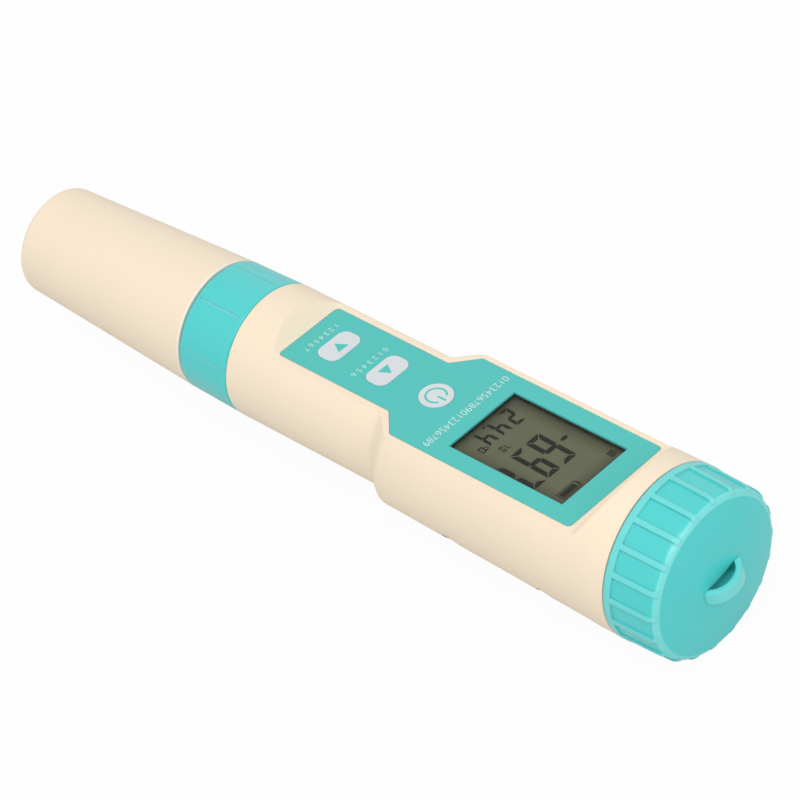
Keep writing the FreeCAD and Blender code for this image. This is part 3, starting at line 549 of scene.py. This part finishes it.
ROW_Y = 0.86 * MM    # the rows stand a little left of the middle
ROWS = {             # outlines, and their base line above the lower end of the glass
    "big_figures": (lean(big), 12.35),
    "small_figures": (lean(small), 1.85),
    "battery_mark": (battery, 27.35),
    "boxed_mark": (boxed, 27.35),
    "side_figures": (lean(beside), 5.6),
}
for name, (outlines, start) in ROWS.items():
    print_mesh(name, shape(outlines), segment, "housing", LCD_LOW.x + start * MM, ROW_Y, LCD_HIGH.z)

FILM_LAP = 1.5       # the film laps over the edge of the pane
opening = [side / MM for side in PANE_HIGH - PANE_LOW]
rim = frame_of(FILM_LAP - opening[1] / 2, 0, opening[1] / 2 - FILM_LAP, opening[0] - 2 * FILM_LAP, line=0.22)
print_mesh("window_rim", shape(rim), black, "housing", PANE_LOW.x + FILM_LAP * MM, 0, PANE_HIGH.z)
print("display pieces", len(ROWS) + 1)

# %% [markdown]
# ## Floor and light
# The backdrop is white to the camera, and the floor keeps only a soft shadow. The sky fills, a key light
# stands over the face and a weaker light at the battery cap.

# %%
floor_mesh = bpy.data.meshes.new("floor")
grid = bmesh.new()
bmesh.ops.create_grid(grid, x_segments=1, y_segments=1, size=3.0)
grid.to_mesh(floor_mesh)
grid.free()
floor = bpy.data.objects.new("floor", floor_mesh)
floor.location.z = -0.0001
bpy.context.scene.collection.objects.link(floor)
pale_floor = finish("pale_floor", (0.72, 0.72, 0.72, 1), 0.9, relief=0.0, spread=0.002)
tree = pale_floor.node_tree
plain = Sum(tree, tree.nodes["Principled BSDF"].outputs[0])
lit = make(tree, "Emission", 0, {"Color": (1, 1, 1, 1), "Strength": 1.0})
seen = make(tree, "LightPath", "Is Camera Ray") * 0.96    # the rest keeps the shadow
page = make(tree, "MixShader", 0, {"Fac": seen, 1: plain, 2: lit})
tree.links.new(page.socket, tree.nodes["Material Output"].inputs["Surface"])
floor_mesh.materials.append(pale_floor)

FILL = 0.69
world = bpy.data.worlds.new("studio")
bpy.context.scene.world = world
world.use_nodes = True
tree = world.node_tree
sky = tree.nodes["Background"]
sky.inputs["Color"].default_value = (1, 1, 1, 1)
rays = make(tree, "LightPath", "Is Camera Ray")
glossy, passing = [Sum(tree, rays.socket.node.outputs[kind]) for kind in ("Is Glossy Ray", "Is Transmission Ray")]
shown = rays.math("MAXIMUM", glossy).math("MAXIMUM", passing)
tree.links.new((shown * (1 - FILL) + FILL).socket, sky.inputs["Strength"])


def soft_light(name, place, aim, size, power):
    lamp = bpy.data.lights.new(name, "AREA")
    lamp.shape = "SQUARE"
    lamp.size = size
    lamp.energy = power
    holder = bpy.data.objects.new(name, lamp)
    holder.location = place
    holder.rotation_euler = (Vector(aim) - Vector(place)).to_track_quat("-Z", "Y").to_euler()
    bpy.context.scene.collection.objects.link(holder)


soft_light("key_light", place=(0.3, -0.6, 1.05), aim=(0, 0, 0), size=0.6, power=4.9)
soft_light("end_light", place=(0.9, -0.2, 0.6), aim=(0.05, 0, 0), size=0.5, power=1.5)
print("lights", len(bpy.data.lights), "fill", FILL)

# %% [markdown]
# ## Camera
# The camera was fitted to the photograph: its place, its turn and its lens.

# %%
AZIMUTH, ELEVATION, ROLL = math.radians(48.36), math.radians(40.37), math.radians(-8.96)
EYE = Vector((0.5165, -0.4532, 0.60302))
SENSOR_MM, FOCAL_PIXELS, PICTURE_PIXELS = 36, 4395.04, 800

back = Vector((math.sin(AZIMUTH) * math.cos(ELEVATION), -math.cos(AZIMUTH) * math.cos(ELEVATION),
               math.sin(ELEVATION)))
right = Vector((0, 0, 1)).cross(back).normalized()
up = back.cross(right)
right, up = (right * math.cos(ROLL) + up * math.sin(ROLL), up * math.cos(ROLL) - right * math.sin(ROLL))
lens = bpy.data.cameras.new("photo_camera")
lens.sensor_width = SENSOR_MM
lens.lens = SENSOR_MM * FOCAL_PIXELS / PICTURE_PIXELS
lens.clip_end = 20
camera = bpy.data.objects.new("photo_camera", lens)
camera.matrix_world = Matrix(((right.x, up.x, back.x, EYE.x), (right.y, up.y, back.y, EYE.y),
                              (right.z, up.z, back.z, EYE.z), (0, 0, 0, 1)))
bpy.context.scene.collection.objects.link(camera)
bpy.context.scene.camera = camera
bpy.context.scene.view_settings.view_transform = "Standard"
print("camera", [round(c, 4) for c in camera.location])
